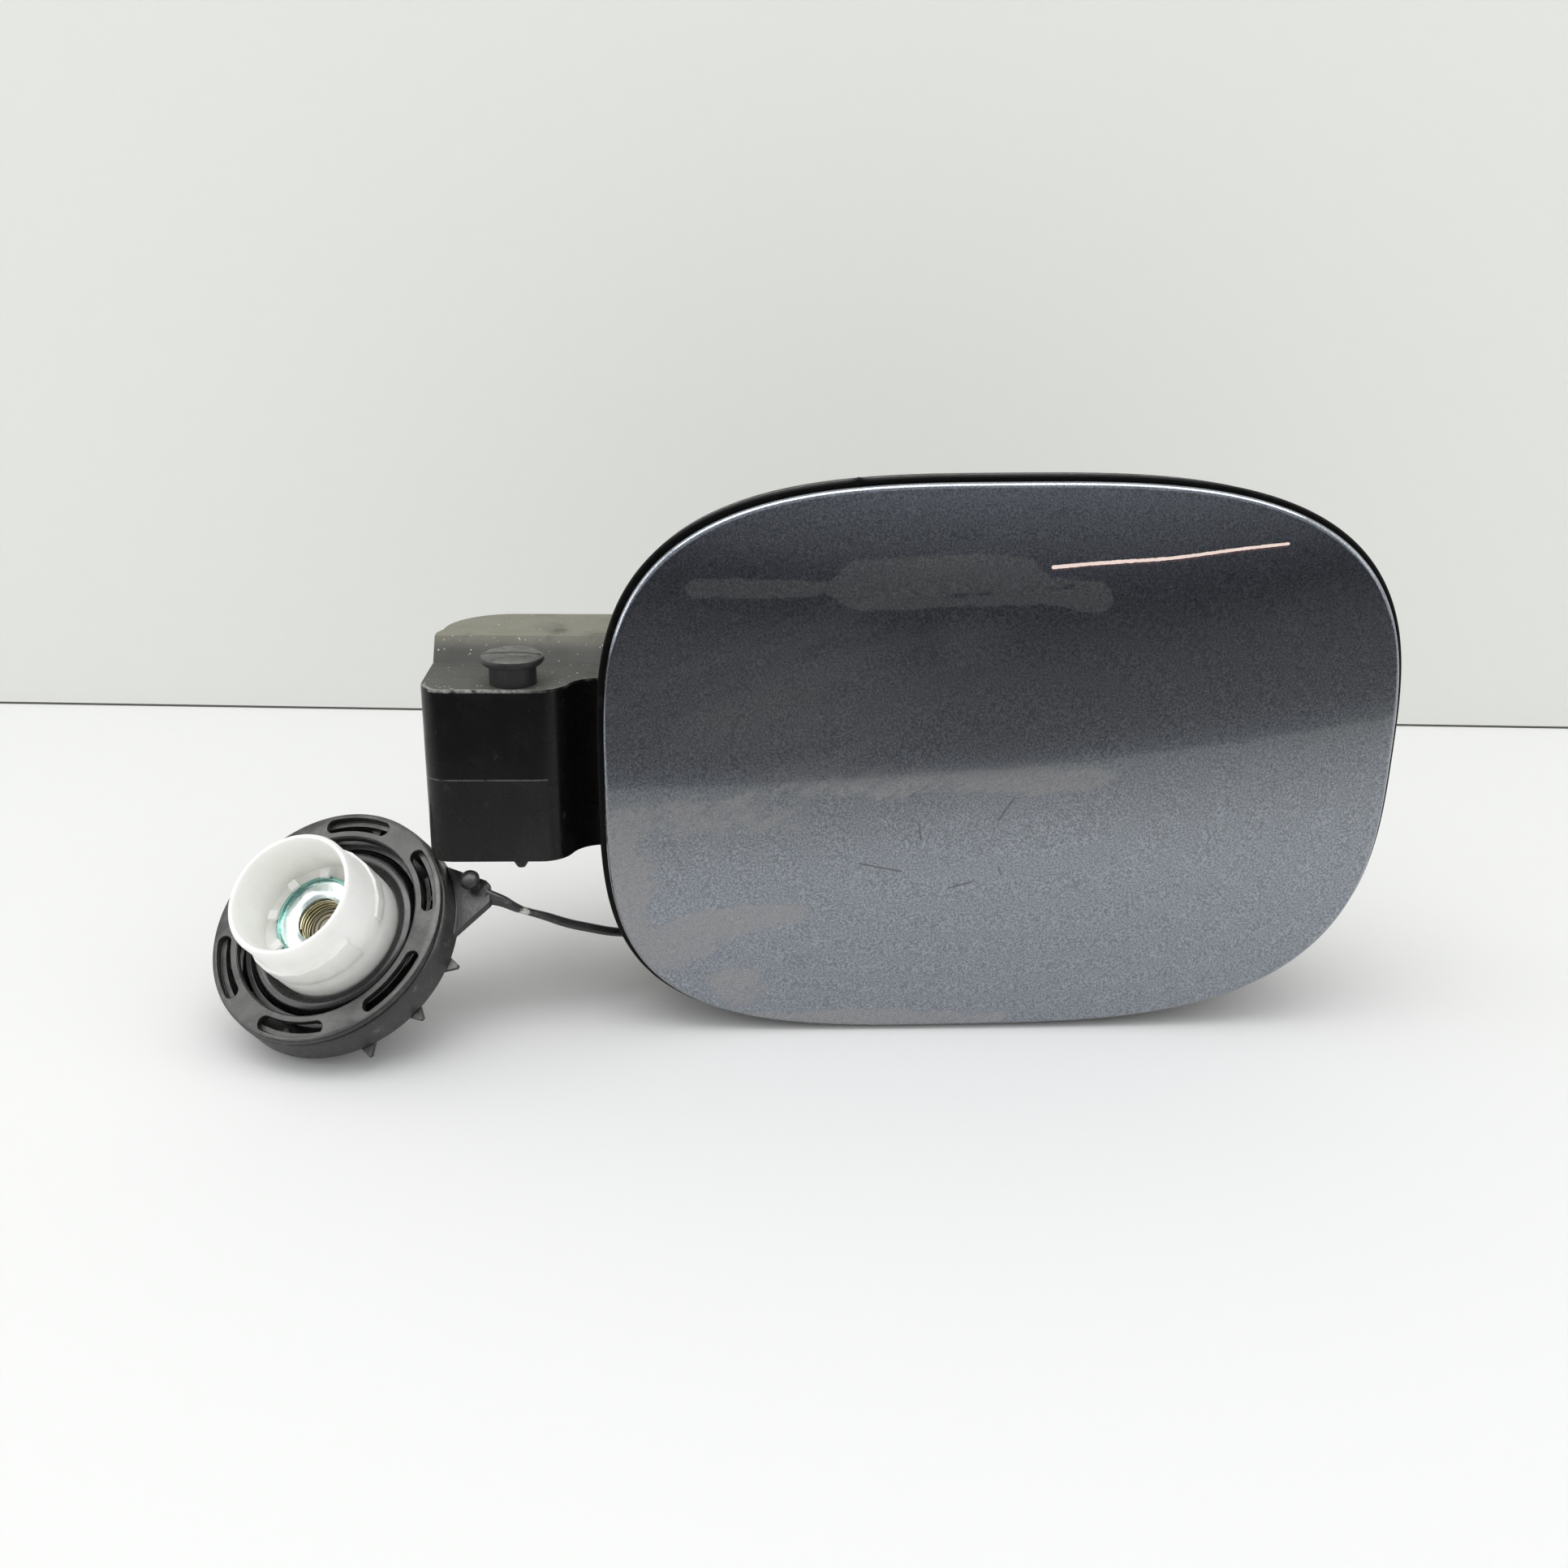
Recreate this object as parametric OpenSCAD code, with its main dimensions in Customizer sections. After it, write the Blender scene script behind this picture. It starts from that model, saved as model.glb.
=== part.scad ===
// Car fuel door: painted door on a gooseneck hinge, black filler bowl with its hinge pocket,
// and a tethered bayonet cap that lies beside it.
// X runs along the car, Y into the car and Z up. The origin is the centre of the filler neck
// opening, on the outer face of the bowl's back wall.

/* [Door] */
// Width of the painted door
door_w = 231; // [215:1:250]
// Height of the painted door
door_h = 166.8; // [156:0.2:180]
// How far the door bulges out in the middle
door_crown = 4; // [2:0.5:7]
// Thickness of the painted skin
skin_t = 1.6; // [1.2:0.1:2]
// Depth of the turned-back edge, from the edge plane
skin_turn = 3; // [2.6:0.1:3.2]
// Thickness of the inner carrier plate
carrier_t = 2.2; // [1.6:0.1:2.6]

/* [Bowl] */
// Depth from the door's edge plane to the outer face of the back wall
bowl_depth = 66; // [62:1:75]
// Wall of the bowl and the hinge pocket
wall = 2.5; // [2:0.1:3]
// Where the front edge of the bowl starts behind the door's edge plane
rim_y = 5; // [4.8:0.1:6]
// How far the soft lip stands out past the door's outline
lip_out = 2; // [1.2:0.1:2.6]
// Radius of the hole for the filler neck seal
neck_hole_r = 38; // [34:0.5:42]
// Inner radius of the rubber neck seal
neck_r = 31; // [26:0.5:33]

/* [Hinge] */
// Distance from the door's left edge to the hinge axis
pivot_out = 26; // [25:0.5:27]
// Depth of the hinge axis behind the door's edge plane
pivot_y = 12; // [11.8:0.1:12.6]
// Radius of the hinge pin's shaft
pin_r = 2.9; // [2.5:0.1:3.1]
// Radius of the pin's round head
pin_head_r = 9.2; // [8:0.1:10]
// Running clearance of the hinge pin
pin_gap = 0.05; // [0.02:0.01:0.09]
// Inner radius of the gooseneck, from the hinge axis
arm_r = 32; // [31.6:0.1:32.4]
// Wall of the gooseneck
arm_t = 3.2; // [2.4:0.1:3.4]

/* [Cap] */
// Radius of the cap's slotted ring
cap_r = 37.2; // [36.8:0.1:38]
// Outer radius of the white plug at its mouth
plug_r = 19.4; // [18.8:0.1:19.8]
// Height of the plug above the slotted ring
plug_h = 21; // [18:0.5:24]
// Thickness of the gasket's section
gasket_t = 6; // [5:0.1:6.2]
// Number of ratchet blades
blades = 4; // [2:1:4]
// Height of the turning handle on the cap's outer face
handle_h = 13; // [9:0.5:14]

/* [Tether] */
// Width of the tether strap
strap_w = 3.4; // [2.8:0.1:3.8]

/* [Hidden] */
$fn = 64;
seat = 0.3;
outline_steps = 96;
door_middle = [0.8, 1.0];
door_turn = 0.8;
door_lean = 0.009;
door_a = door_w / 2;
door_b = door_h / 2;
left_x = door_middle.x - door_a;
right_x = door_middle.x + door_a;
roll_r = 1.5;
carrier_y = skin_t + 0.3;
carrier_back = carrier_y + carrier_t;
stiff_h = 2.5;
rim_back = carrier_back + stiff_h;
rib_x = door_a - 49.5;
rib_z = door_b - 43.4;

wall_out = 0.4;
rim_a = door_a + wall_out;
rim_b = door_b + wall_out;
lip_front = rim_y - 1.2;
lip_back = rim_y + 7;
lip_z = 0.6;
lip_lift = 0.2;
table_z = door_middle.y - rim_b - 0.7;
back_in = bowl_depth - wall;
bowl_side_in = 9;
bowl_top_in = 15;
bowl_bottom_in = 4;
bowl_corner = 5;
bowl_fall = 0.86;
bowl_run = back_in + wall - bowl_corner - rim_y;
hook_y = lip_back + 1.5;
hook_len = 10;
hook_w = 7;

pivot = [left_x - pivot_out, pivot_y];
pocket_left = left_x - 52.3;
pocket_front = 4;
pocket_bend = left_x - 19.3;
pocket_low = -28.7;
pocket_top = 24;
pocket_top_rear = 31;
pocket_step_y = 33;
pocket_step_run = 5.5;
s_r = 9.5;
s_turn = 71.7;
front_corner = 7;
rear_corner = 20;
recess_y = pocket_front + 2 * s_r * (1 - cos(s_turn));

fork_at = [-64, 25];
fork_w = 20;
fork_h = 15;
fork_out = 11;
fork_slot = 5.6;

arm_low = -20;
arm_high = 15;
arm_root = 126;
arm_rib = 3;
hub_r = 5;
cam_r = 7.6;
cam_nose = 2.2;
cam_angle = 150;
leaf_t = 0.9;
leaf_bend = 3;
leaf_low = -5.5;
leaf_w = 6;

shelf_y = 12;
shelf_in = 11;
buffer_x = right_x - 27;
buffer_z = door_b - 29.4;
buffer_r = 5;
stem_r = 2.5;

lock_y = 24;
lock_r = 4.2;
lock_hole_r = 7;
socket_x = right_x - 12;
bush_flange = 1.2;
bush_len = 18.5;
catch_x = right_x - 19.5;
catch_t = 3;
catch_d = 30;

collar_front = 6.5;
collar_out = 2;
flange_t = 1.4;

post_at = [-6, -56];
post_r = 2.8;
eyelet_y = bowl_depth + 6;
eyelet_t = 3;
eyelet_r = 6.5;
drain_at = [36, 17.4 - door_b];
drain_r = 4.75;
drain_len = 14;

cap_at = [left_x - 46.2 - cap_r, 1.5, -47.2];
cap_turn = [42.3, 0, -26.3];
ring_t = 2.2;
ring_in = cap_r - 8.4;
slots = 6;
slot_r = cap_r - 4;
slot_w = 4.4;
slot_arc = 30;
slot_start = 37.5;
shell_r = cap_r - 2.2;
shell_t = 1.4;
shell_end = -15;
end_t = 2.4;
shell_floor = shell_end + end_t;
tooth_root = shell_r - shell_t;
fin_t = 1.2;
handle_t = 15;
collar_in = shell_r + seat;
collar_top = -ring_t - seat;
collar_low = -11.7;
prong_r = cap_r + 3.4;
prongs = 14;
teeth = 12;
tooth_d = 1.9;
ear_angle = 29;
ear_r = cap_r + 11.3;
ear_t = 2.4;
stud_angle = 34;
stud_at_r = cap_r + 7;
core_low = shell_floor + seat;
carrier_disc_t = 2.4;
cup_wall_out = tooth_root - 4.7;
cup_wall_in = cup_wall_out - 1.6;
cup_wall_h = 7;
blade_t = 1.3;
blade_span = 62;
blade_start = 73;
blade_r = tooth_root - tooth_d + 0.6;
foot_r = plug_r + 2.4;
foot_h = core_low + carrier_disc_t;
gasket_r = plug_r + 1.6 + gasket_t / 2;
gasket_h = -3.2 - gasket_t / 2;
cup_r = plug_r - 2;
cup_floor = 3;
well_r = 12.2;
seat_h = -8;
steel_r = 12.9;
steel_hole = 6.7;
steel_t = 0.9;
tab_h = cup_floor + 2.4;
tabs = 8;
tab_w = 2.8;
tab_t = 1.4;
disc_r = 10;
disc_t = 2;
seal_t = 1.4;
vent_r = 3;
coil_r = 7;
wire_r = 0.3;
coil_turns = 6;

// The tether's route, from the cap's ear round the outside of the bowl to its post.
strap_route = [
    [-151, 4.5, -40], [-146, 4.5, -41.6], [-141.2, 7, -45.4], [-134, 10, -49.2],
    [-127.6, 13.5, -53.2], [-121, 16, -56], [-115.4, 19, -58.6], [-110.5, 24, -61.4],
    [-106, 30, -64], [-103, 39, -66], [-100, 50, -67], [-95, 62, -67], [-86, 72, -66],
    [-74, 77, -64.4], [-60, 79, -62.6], [-46, 78.8, -60.8], [-33, 77, -58.8],
    [-22, 75, -57.2], [-11, 73.5, -56]
];
strap_sides = 8;

// Everything is drawn from the door's edge plane, which lies bowl_depth in front of the origin.
module from_door_plane() translate([0, -bowl_depth, 0]) children();

// The cap is drawn upright, its slotted ring's face at height 0, and then laid in its place.
module on_cap() from_door_plane() translate(cap_at) rotate(cap_turn) children();

// Along Y, starting at depth y.
module along_y(at, y) translate([at.x, y, at.y]) rotate([-90, 0, 0]) children();

// Along X, starting at x.
module along_x(x, y, z) translate([x, y, z]) rotate([0, 90, 0]) children();

// Round-cornered oval: each quarter has its own power, so that the corners differ slightly.
function corner_power(t) =
    cos(t) >= 0 ? (sin(t) >= 0 ? 3.14 : 2.96) : (sin(t) >= 0 ? 3.21 : 3.71);
function oval(t, a, b) =
    let (n = corner_power(t), r = pow(pow(abs(cos(t)) / a, n) + pow(abs(sin(t)) / b, n), -1 / n))
    [r * cos(t), r * sin(t)];
function leaned(p) =
    let (x = p.x + door_lean * p.y)
    [x * cos(door_turn) - p.y * sin(door_turn), x * sin(door_turn) + p.y * cos(door_turn)];
function outline(a, b, z_shift = 0) = [
    for (i = [0:outline_steps - 1])
        leaned(oval(360 * i / outline_steps, a, b)) + door_middle + [0, z_shift]
];
function ring(a, b, y, z_shift = 0) = [for (p = outline(a, b, z_shift)) [p.x, y, p.y]];
function arc(c, r, a0, a1, n) = [
    for (i = [0:n]) let (a = a0 + (a1 - a0) * i / n) [c.x + r * cos(a), c.y + r * sin(a)]
];

// Solid through a stack of equal-length rings, closed by a flat face at both ends.
module loft(rings) {
    n = len(rings[0]);
    last = (len(rings) - 1) * n;
    polyhedron(
        points = [for (r = rings) each r],
        faces = concat(
            [[for (i = [n - 1:-1:0]) i]],
            [[for (i = [0:n - 1]) last + i]],
            [for (k = [0:len(rings) - 2]) for (i = [0:n - 1]) let (j = (i + 1) % n)
                [k * n + i, k * n + j, (k + 1) * n + j, (k + 1) * n + i]]
        )
    );
}

// Endless band: the rings run once round its section, counter-clockwise in (outwards, Y).
module band(rings) {
    n = len(rings[0]);
    m = len(rings);
    polyhedron(
        points = [for (r = rings) each r],
        faces = [for (k = [0:m - 1]) for (i = [0:n - 1]) let (j = (i + 1) % n, l = (k + 1) % m)
            [k * n + i, k * n + j, l * n + j, l * n + i]]
    );
}

// Outline of a strip of even thickness along a plane path.
function side_of(path, i) =
    let (a = path[max(i - 1, 0)], b = path[min(i + 1, len(path) - 1)], d = (b - a) / norm(b - a))
    [-d.y, d.x];
function strip(path, t) = concat(
    [for (i = [0:len(path) - 1]) path[i] + side_of(path, i) * t / 2],
    [for (i = [len(path) - 1:-1:0]) path[i] - side_of(path, i) * t / 2]
);

// Door skin: rings from the middle of the outer face to the edge, round the roll, back along
// the turned edge and over the inner face.
function skin_face(f, lift) = ring(
    (door_a - roll_r) * f, (door_b - roll_r) * f, lift - door_crown * (1 - f * f)
);
module door_skin() color([0.27, 0.29, 0.33]) from_door_plane() loft(concat(
    [for (f = [0.06, 0.3, 0.5, 0.68, 0.83, 0.93, 1]) skin_face(f, 0)],
    [for (a = [30, 60, 90])
        ring(door_a - roll_r * (1 - sin(a)), door_b - roll_r * (1 - sin(a)), roll_r * (1 - cos(a)))],
    [ring(door_a, door_b, skin_turn)],
    [ring(door_a - skin_t, door_b - skin_t, skin_turn)],
    [ring(door_a - skin_t, door_b - skin_t, skin_t + 0.1)],
    [for (f = [0.98, 0.9, 0.75, 0.55, 0.3, 0.06]) skin_face(f, skin_t)]
));

// Inner carrier with the gooseneck arm, moulded in one piece.
module carrier_plate(inset, y, t)
    translate([0, y + t, 0]) rotate([90, 0, 0]) linear_extrude(t)
        polygon(outline(door_a - inset, door_b - inset));

module gooseneck_plan(out) {
    inner = arc(pivot, arm_r, arm_root, 0, 30);
    outer = arc(pivot, out, 0, arm_root, 30);
    foot_y = carrier_y + 0.6;
    polygon(concat(inner, [[pivot.x + arm_r, foot_y], [pivot.x + out, foot_y]], outer));
}

module arm_leg() {
    far = arm_r + arm_t / 2;
    polygon(strip([pivot, pivot + far * [cos(arm_root - 4), sin(arm_root - 4)]], 5.6));
}

module door_arm() color([0.1, 0.1, 0.11]) from_door_plane() difference() {
    union() {
        carrier_plate(4, carrier_y, carrier_t);
        // stiffening rim and cross ribs on the inner face
        difference() {
            carrier_plate(9, carrier_back - 0.2, stiff_h + 0.2);
            carrier_plate(11, carrier_back - 1, stiff_h + 2);
        }
        for (x = [-rib_x, 0, rib_x])
            translate([x - 0.9, carrier_back - 0.2, 19.4 - door_b])
                cube([1.8, stiff_h + 0.2, door_h - 36.8]);
        for (z = [-rib_z - 2, rib_z + 4])
            translate([17.5 - door_a, carrier_back - 0.2, z]) cube([door_w - 35, stiff_h + 0.2, 1.8]);
        // spacers that carry the painted skin
        for (x = [-rib_x, 0, rib_x]) for (z = [-rib_z, rib_z])
            along_y([x, z], carrier_y - 2.2) cylinder(r = 5, h = 2.4);
        translate([0, 0, arm_low]) linear_extrude(arm_high - arm_low) gooseneck_plan(arm_r + arm_t);
        for (z = [arm_low, (arm_low + arm_high) / 2 - 1, arm_high - 2])
            translate([0, 0, z]) linear_extrude(2) gooseneck_plan(arm_r + arm_t + arm_rib);
        for (z = [arm_low, arm_high - 13]) translate([0, 0, z]) linear_extrude(13) arm_leg();
        translate([pivot.x, pivot.y, pocket_low + wall + seat])
            cylinder(r = hub_r, h = pocket_top - pocket_low - 2 * wall - 2 * seat);
        // detent cam between the two hinge legs
        translate([pivot.x, pivot.y, -6]) linear_extrude(7) hull() {
            circle(r = hub_r - 1);
            rotate(cam_angle) translate([cam_r - cam_nose, 0]) circle(r = cam_nose);
        }
        // catch that the lock pin enters
        difference() {
            translate([catch_x, carrier_back - 0.2, -11]) cube([catch_t, catch_d - carrier_back, 22]);
            along_x(catch_x - 1, lock_y, 0) cylinder(r = lock_r + 1, h = catch_t + 2);
        }
        for (z = [-11, 9.4]) translate([catch_x - 9, carrier_back - 0.2, z]) linear_extrude(1.6)
            polygon([[0, 0], [9.2, 0], [9.2, 18]]);
        // fork that holds the open cap by its stud
        difference() {
            translate([fork_at.x, carrier_back - 0.2, fork_at.y]) cube([fork_w, fork_out, fork_h]);
            translate([fork_at.x + 2.5, carrier_back + 1, fork_at.y + 2])
                cube([fork_w - 5, fork_out - 4.6, fork_h]);
            translate([fork_at.x + fork_w / 2 - fork_slot / 2, carrier_back + 1, fork_at.y + 4])
                cube([fork_slot, fork_out, fork_h]);
        }
    }
    translate([pivot.x, pivot.y, pocket_low]) cylinder(r = pin_r + pin_gap, h = 60);
}

// Bowl: its outer and inner form are the same stack of ovals, one wall apart.
function bowl_ring(f, y, inset) = ring(
    rim_a - bowl_side_in * f - inset,
    rim_b - (bowl_top_in + bowl_bottom_in) / 2 * f - inset,
    y,
    -(bowl_top_in - bowl_bottom_in) / 2 * f
);
function bowl_form(inset, front) = let (back = bowl_depth - inset) [
    bowl_ring(0, front, inset),
    bowl_ring(bowl_fall, back - bowl_corner, inset),
    bowl_ring(1, back - bowl_corner * 0.3, inset + bowl_corner * 0.3),
    bowl_ring(1, back, inset + bowl_corner)
];

// Hinge pocket, seen from above: front face, S-bend, square front corner, round rear corner.
function pocket_plan(inset) = concat(
    [[left_x + 14, bowl_depth - inset]],
    arc([pocket_left + rear_corner + 1.5, bowl_depth - rear_corner], rear_corner - inset, 90, 180, 10),
    [[pocket_left + inset, bowl_depth - rear_corner - 4]],
    arc([pocket_left + front_corner, pocket_front + front_corner], front_corner - inset, 180, 270, 6),
    arc([pocket_bend, pocket_front + s_r], s_r - inset, 270, 270 + s_turn, 8),
    arc([pocket_bend + 2 * s_r * sin(s_turn), recess_y - s_r], s_r + inset, 90 + s_turn, 90, 8),
    [[left_x + 14, recess_y + inset]]
);
// The same pocket seen from the side: a low front part, a slanted step and a raised rear part.
function pocket_side(inset) = let (slant = inset * 0.5) [
    [pocket_front - 5, pocket_low + inset],
    [bowl_depth + 5, pocket_low + inset],
    [bowl_depth + 5, pocket_top_rear - inset],
    [pocket_step_y + pocket_step_run + slant, pocket_top_rear - inset],
    [pocket_step_y + slant, pocket_top - inset],
    [pocket_front - 5, pocket_top - inset]
];
module pocket_form(inset) intersection() {
    translate([0, 0, -60]) linear_extrude(120) polygon(pocket_plan(inset));
    translate([pocket_left - 10, 0, 0]) rotate([90, 0, 90]) linear_extrude(120)
        polygon(pocket_side(inset));
}

// Wedge on the bowl's wall that springs behind the body panel's edge, at angle t of the outline.
// Its root follows the wall's slope and its crest stands crest past the rim's outline.
module snap_hook(t, slope, crest) {
    p = leaned(oval(t, rim_a, rim_b)) + door_middle;
    d = leaned(oval(t + 1, rim_a, rim_b)) - leaned(oval(t - 1, rim_a, rim_b));
    root = wall / 2;
    translate([p.x, 0, p.y]) rotate([0, -atan2(-d.x, d.y), 0]) linear_extrude(hook_w, center = true)
        polygon([
            [-slope * (hook_y - rim_y) - root, hook_y], [crest, hook_y + 5], [crest, hook_y + 6.4],
            [-slope * (hook_y + hook_len - rim_y) - root, hook_y + hook_len]
        ]);
}

module bowl_housing() color([0.13, 0.13, 0.13]) from_door_plane() difference() {
    union() {
        difference() {
            union() {
                loft(bowl_form(0, rim_y));
                pocket_form(0);
                // stiffening ribs under the bowl, level with the lip's lowest point
                for (x = [-46, 44]) translate([x, lip_back + 1, table_z])
                    cube([3, bowl_depth - lip_back - 1, 20]);
            }
            loft(bowl_form(wall, rim_y - 1));
            intersection() {
                pocket_form(wall);
                translate([pocket_left - 5, 0, -50])
                    cube([left_x + 15 - pocket_left, bowl_depth, 100]);
            }
        }
        // shelf for the two rubber buffers
        intersection() {
            difference() {
                carrier_plate(wall, shelf_y, wall);
                carrier_plate(shelf_in, shelf_y - 1, wall + 2);
            }
            translate([right_x - 48, 0, -100]) cube([60, 100, 200]);
        }
        for (z = [buffer_z, -buffer_z])
            along_y([buffer_x, z], shelf_y) cylinder(r = buffer_r + 1.5, h = wall);
        // collar of the neck opening
        along_y([0, 0], bowl_depth - collar_front)
            cylinder(r = neck_hole_r + wall, h = collar_front + collar_out);
        // socket of the lock pin's bush
        along_x(socket_x, lock_y, 0) cylinder(r = lock_hole_r + 2, h = 16);
        // drain spigot
        along_y(drain_at, back_in) cylinder(r = drain_r, h = wall + drain_len);
        // post for the tether's eye
        along_y(post_at, back_in) cylinder(r = post_r, h = wall + 6 + eyelet_t + 0.6);
        along_y(post_at, back_in) cylinder(r = post_r + 2, h = wall + 6 - seat);
        along_y(post_at, eyelet_y + eyelet_t + seat)
            cylinder(r1 = post_r + 1.4, r2 = post_r - 0.4, h = 2.6);
        for (t = [57, 90, 125]) snap_hook(t, bowl_top_in * bowl_fall / bowl_run, -1.7);
        for (t = [230, 310]) snap_hook(t, bowl_bottom_in * bowl_fall / bowl_run, 0.5);
    }
    along_y([0, 0], back_in - 6) cylinder(r = neck_hole_r, h = wall + 14);
    along_x(right_x - 20, lock_y, 0) cylinder(r = lock_hole_r, h = 40);
    along_y(drain_at, back_in - 2) cylinder(r = drain_r - 1.4, h = drain_len + 10);
    for (z = [buffer_z, -buffer_z])
        along_y([buffer_x, z], shelf_y - 1) cylinder(r = stem_r, h = wall + 2);
    translate([pivot.x, pivot.y, pocket_low - 1])
        cylinder(r = pin_r + pin_gap, h = pocket_top - pocket_low + 2);
}

// Soft lip moulded round the front edge of the bowl, with a thin fin that points outwards.
function lip_ring(out, y) = ring(rim_a + out, rim_b + out * lip_z, y, lip_lift * out / lip_out);
module lip_seal() color([0.03, 0.03, 0.03]) from_door_plane() {
    band([
        lip_ring(-wall + 0.3, lip_front + 0.2), lip_ring(0.2, lip_front),
        lip_ring(lip_out - wall_out - 0.3, lip_front + 0.2),
        lip_ring(lip_out - wall_out, lip_front + 0.8),
        lip_ring(lip_out - wall_out - 0.2, lip_front + 1.6), lip_ring(0.9, lip_back - 2),
        lip_ring(0.7, lip_back), lip_ring(0.02, lip_back), lip_ring(0.02, rim_y - 0.02),
        lip_ring(-wall + 0.3, rim_y - 0.02)
    ]);
    // moulding nub on top
    translate([-43, lip_front + 1.4, door_b]) cylinder(r1 = 2.2, r2 = 0.2, h = 2.4);
}

// Rubber seal between the bowl and the filler neck: a sleeve in the bowl's collar, with a flange
// over the collar's front edge and a thin lip that bears on the neck.
module neck_seal() color([0.05, 0.05, 0.05]) along_y([0, 0], 0) rotate_extrude() polygon([
    [neck_r, -2], [neck_r, 2], [neck_r + 1.4, collar_out + 1], [neck_hole_r - 0.8, collar_out + 1],
    [neck_hole_r - 0.05, collar_out + 0.2], [neck_hole_r - 0.05, -collar_front - seat],
    [neck_hole_r + wall, -collar_front - seat], [neck_hole_r + wall, -collar_front - seat - flange_t],
    [neck_hole_r - 1.5, -collar_front - seat - flange_t], [neck_hole_r - 3, -collar_front + 0.5],
    [neck_r + 2, -2.6]
]);

// Bush that guides the lock pin through the bowl's right wall.
module lock_bush() color([0.05, 0.05, 0.05]) from_door_plane()
    along_x(socket_x - seat - bush_flange, lock_y, 0) rotate_extrude() polygon([
        [lock_r, 0], [lock_hole_r + 1.8, 0], [lock_hole_r + 1.8, bush_flange],
        [lock_hole_r - 0.05, bush_flange], [lock_hole_r - 0.05, bush_len - 1.5],
        [lock_r + 1, bush_len], [lock_r, bush_len]
    ]);

// Rubber buffer in the shelf, against the closed door's carrier.
module door_buffer(z) color([0.06, 0.06, 0.06]) from_door_plane()
    along_y([buffer_x, z], 0) rotate_extrude() polygon([
        [0, rim_back + seat], [buffer_r - 1.4, rim_back + seat],
        [buffer_r - 0.4, rim_back + 1.4], [buffer_r, shelf_y], [stem_r - 0.05, shelf_y],
        [stem_r - 0.05, shelf_y + wall], [stem_r + 1, shelf_y + wall],
        [stem_r - 0.6, shelf_y + wall + 2.6], [0, shelf_y + wall + 2.6]
    ]);

module hinge_pin() color([0.16, 0.16, 0.16]) from_door_plane()
translate([pivot.x, pivot.y, 0]) difference() {
    rotate_extrude() polygon([
        [0, pocket_low - 4.8], [1.2, pocket_low - 4.8], [pin_r, pocket_low - 2], [pin_r, pocket_top],
        [pin_head_r - 2.4, pocket_top], [pin_head_r - 2.4, pocket_top + 5.6],
        [pin_head_r - 0.8, pocket_top + 5.9], [pin_head_r, pocket_top + 6.9],
        [pin_head_r - 0.2, pocket_top + 8.1], [pin_head_r - 1.4, pocket_top + 8.9],
        [0, pocket_top + 9.3]
    ]);
    translate([-20, -1.2, pocket_top + 8.3]) cube([40, 0.8, 3]);
}

// Hairpin of spring steel: one leg lies on the pocket's left wall, the other on the hinge cam.
module hinge_leaf_spring() color([0.55, 0.55, 0.5]) from_door_plane() {
    touch = pivot + (cam_r + seat + leaf_t / 2) * [cos(cam_angle), sin(cam_angle)];
    along = [sin(cam_angle), -cos(cam_angle)];
    back = pocket_left + wall + leaf_t;
    translate([0, 0, leaf_low]) linear_extrude(leaf_w) polygon(strip(concat(
        [[back, 34]], arc([back + leaf_bend, 13], leaf_bend, 180, 300, 8),
        [touch - 7 * along, touch + 3 * along]
    ), leaf_t));
}

// Cap, from its outer handle inwards.
module arc_slot(r, w, span, h) {
    rotate(-span / 2) rotate_extrude(angle = span) translate([r - w / 2, 0]) square([w, h]);
    for (a = [-span / 2, span / 2]) rotate(a) translate([r, 0, 0]) cylinder(r = w / 2, h = h);
}

module cap_shell() color([0.12, 0.12, 0.12]) on_cap() {
    rotate(180 / prongs) rotate_extrude() polygon([
        [0, shell_end], [shell_r - 1.6, shell_end], [shell_r + 1.6, shell_end + 1.4],
        [shell_r + 1.6, collar_low - seat], [shell_r, collar_low - seat], [shell_r, -ring_t],
        [tooth_root, -ring_t], [tooth_root, shell_floor], [0, shell_floor]
    ]);
    for (i = [0:teeth - 1]) rotate(360 / teeth * i) translate([0, 0, shell_floor - 0.2]) linear_extrude(8)
        polygon([[tooth_root + 0.3, -0.8], [tooth_root - tooth_d, -0.5], [tooth_root - tooth_d, 0.5],
            [tooth_root + 0.3, 3]]);
    // two groups of three small fins that keep the tether's collar on
    for (i = [-2, -1, 0, 5, 6, 7]) rotate(360 / prongs * i)
        translate([0, 0, collar_low - 2 * seat - fin_t])
        linear_extrude(fin_t)
            polygon([[shell_r + 0.8, -2.8], [prong_r, -0.5], [prong_r, 0.5], [shell_r + 0.8, 2.8]]);
    // handle
    intersection() {
        translate([0, 0, shell_end - handle_h]) cylinder(r1 = 23, r2 = 31, h = handle_h + 0.5);
        translate([-40, -handle_t / 2, shell_end - handle_h]) cube([80, handle_t, handle_h + 0.5]);
    }
}

module slotted_ring() color([0.14, 0.14, 0.14]) on_cap() difference() {
    rotate_extrude() polygon([
        [ring_in, -ring_t], [cap_r - 0.5, -ring_t], [cap_r, -ring_t + 0.6], [cap_r - 0.2, -0.3],
        [cap_r - 0.8, 0], [ring_in + 0.4, 0], [ring_in, -0.4]
    ]);
    for (i = [0:slots - 1]) rotate(360 / slots * i + slot_start) translate([0, 0, -ring_t - 1])
        arc_slot(slot_r, slot_w, slot_arc, ring_t + 2);
}

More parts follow.
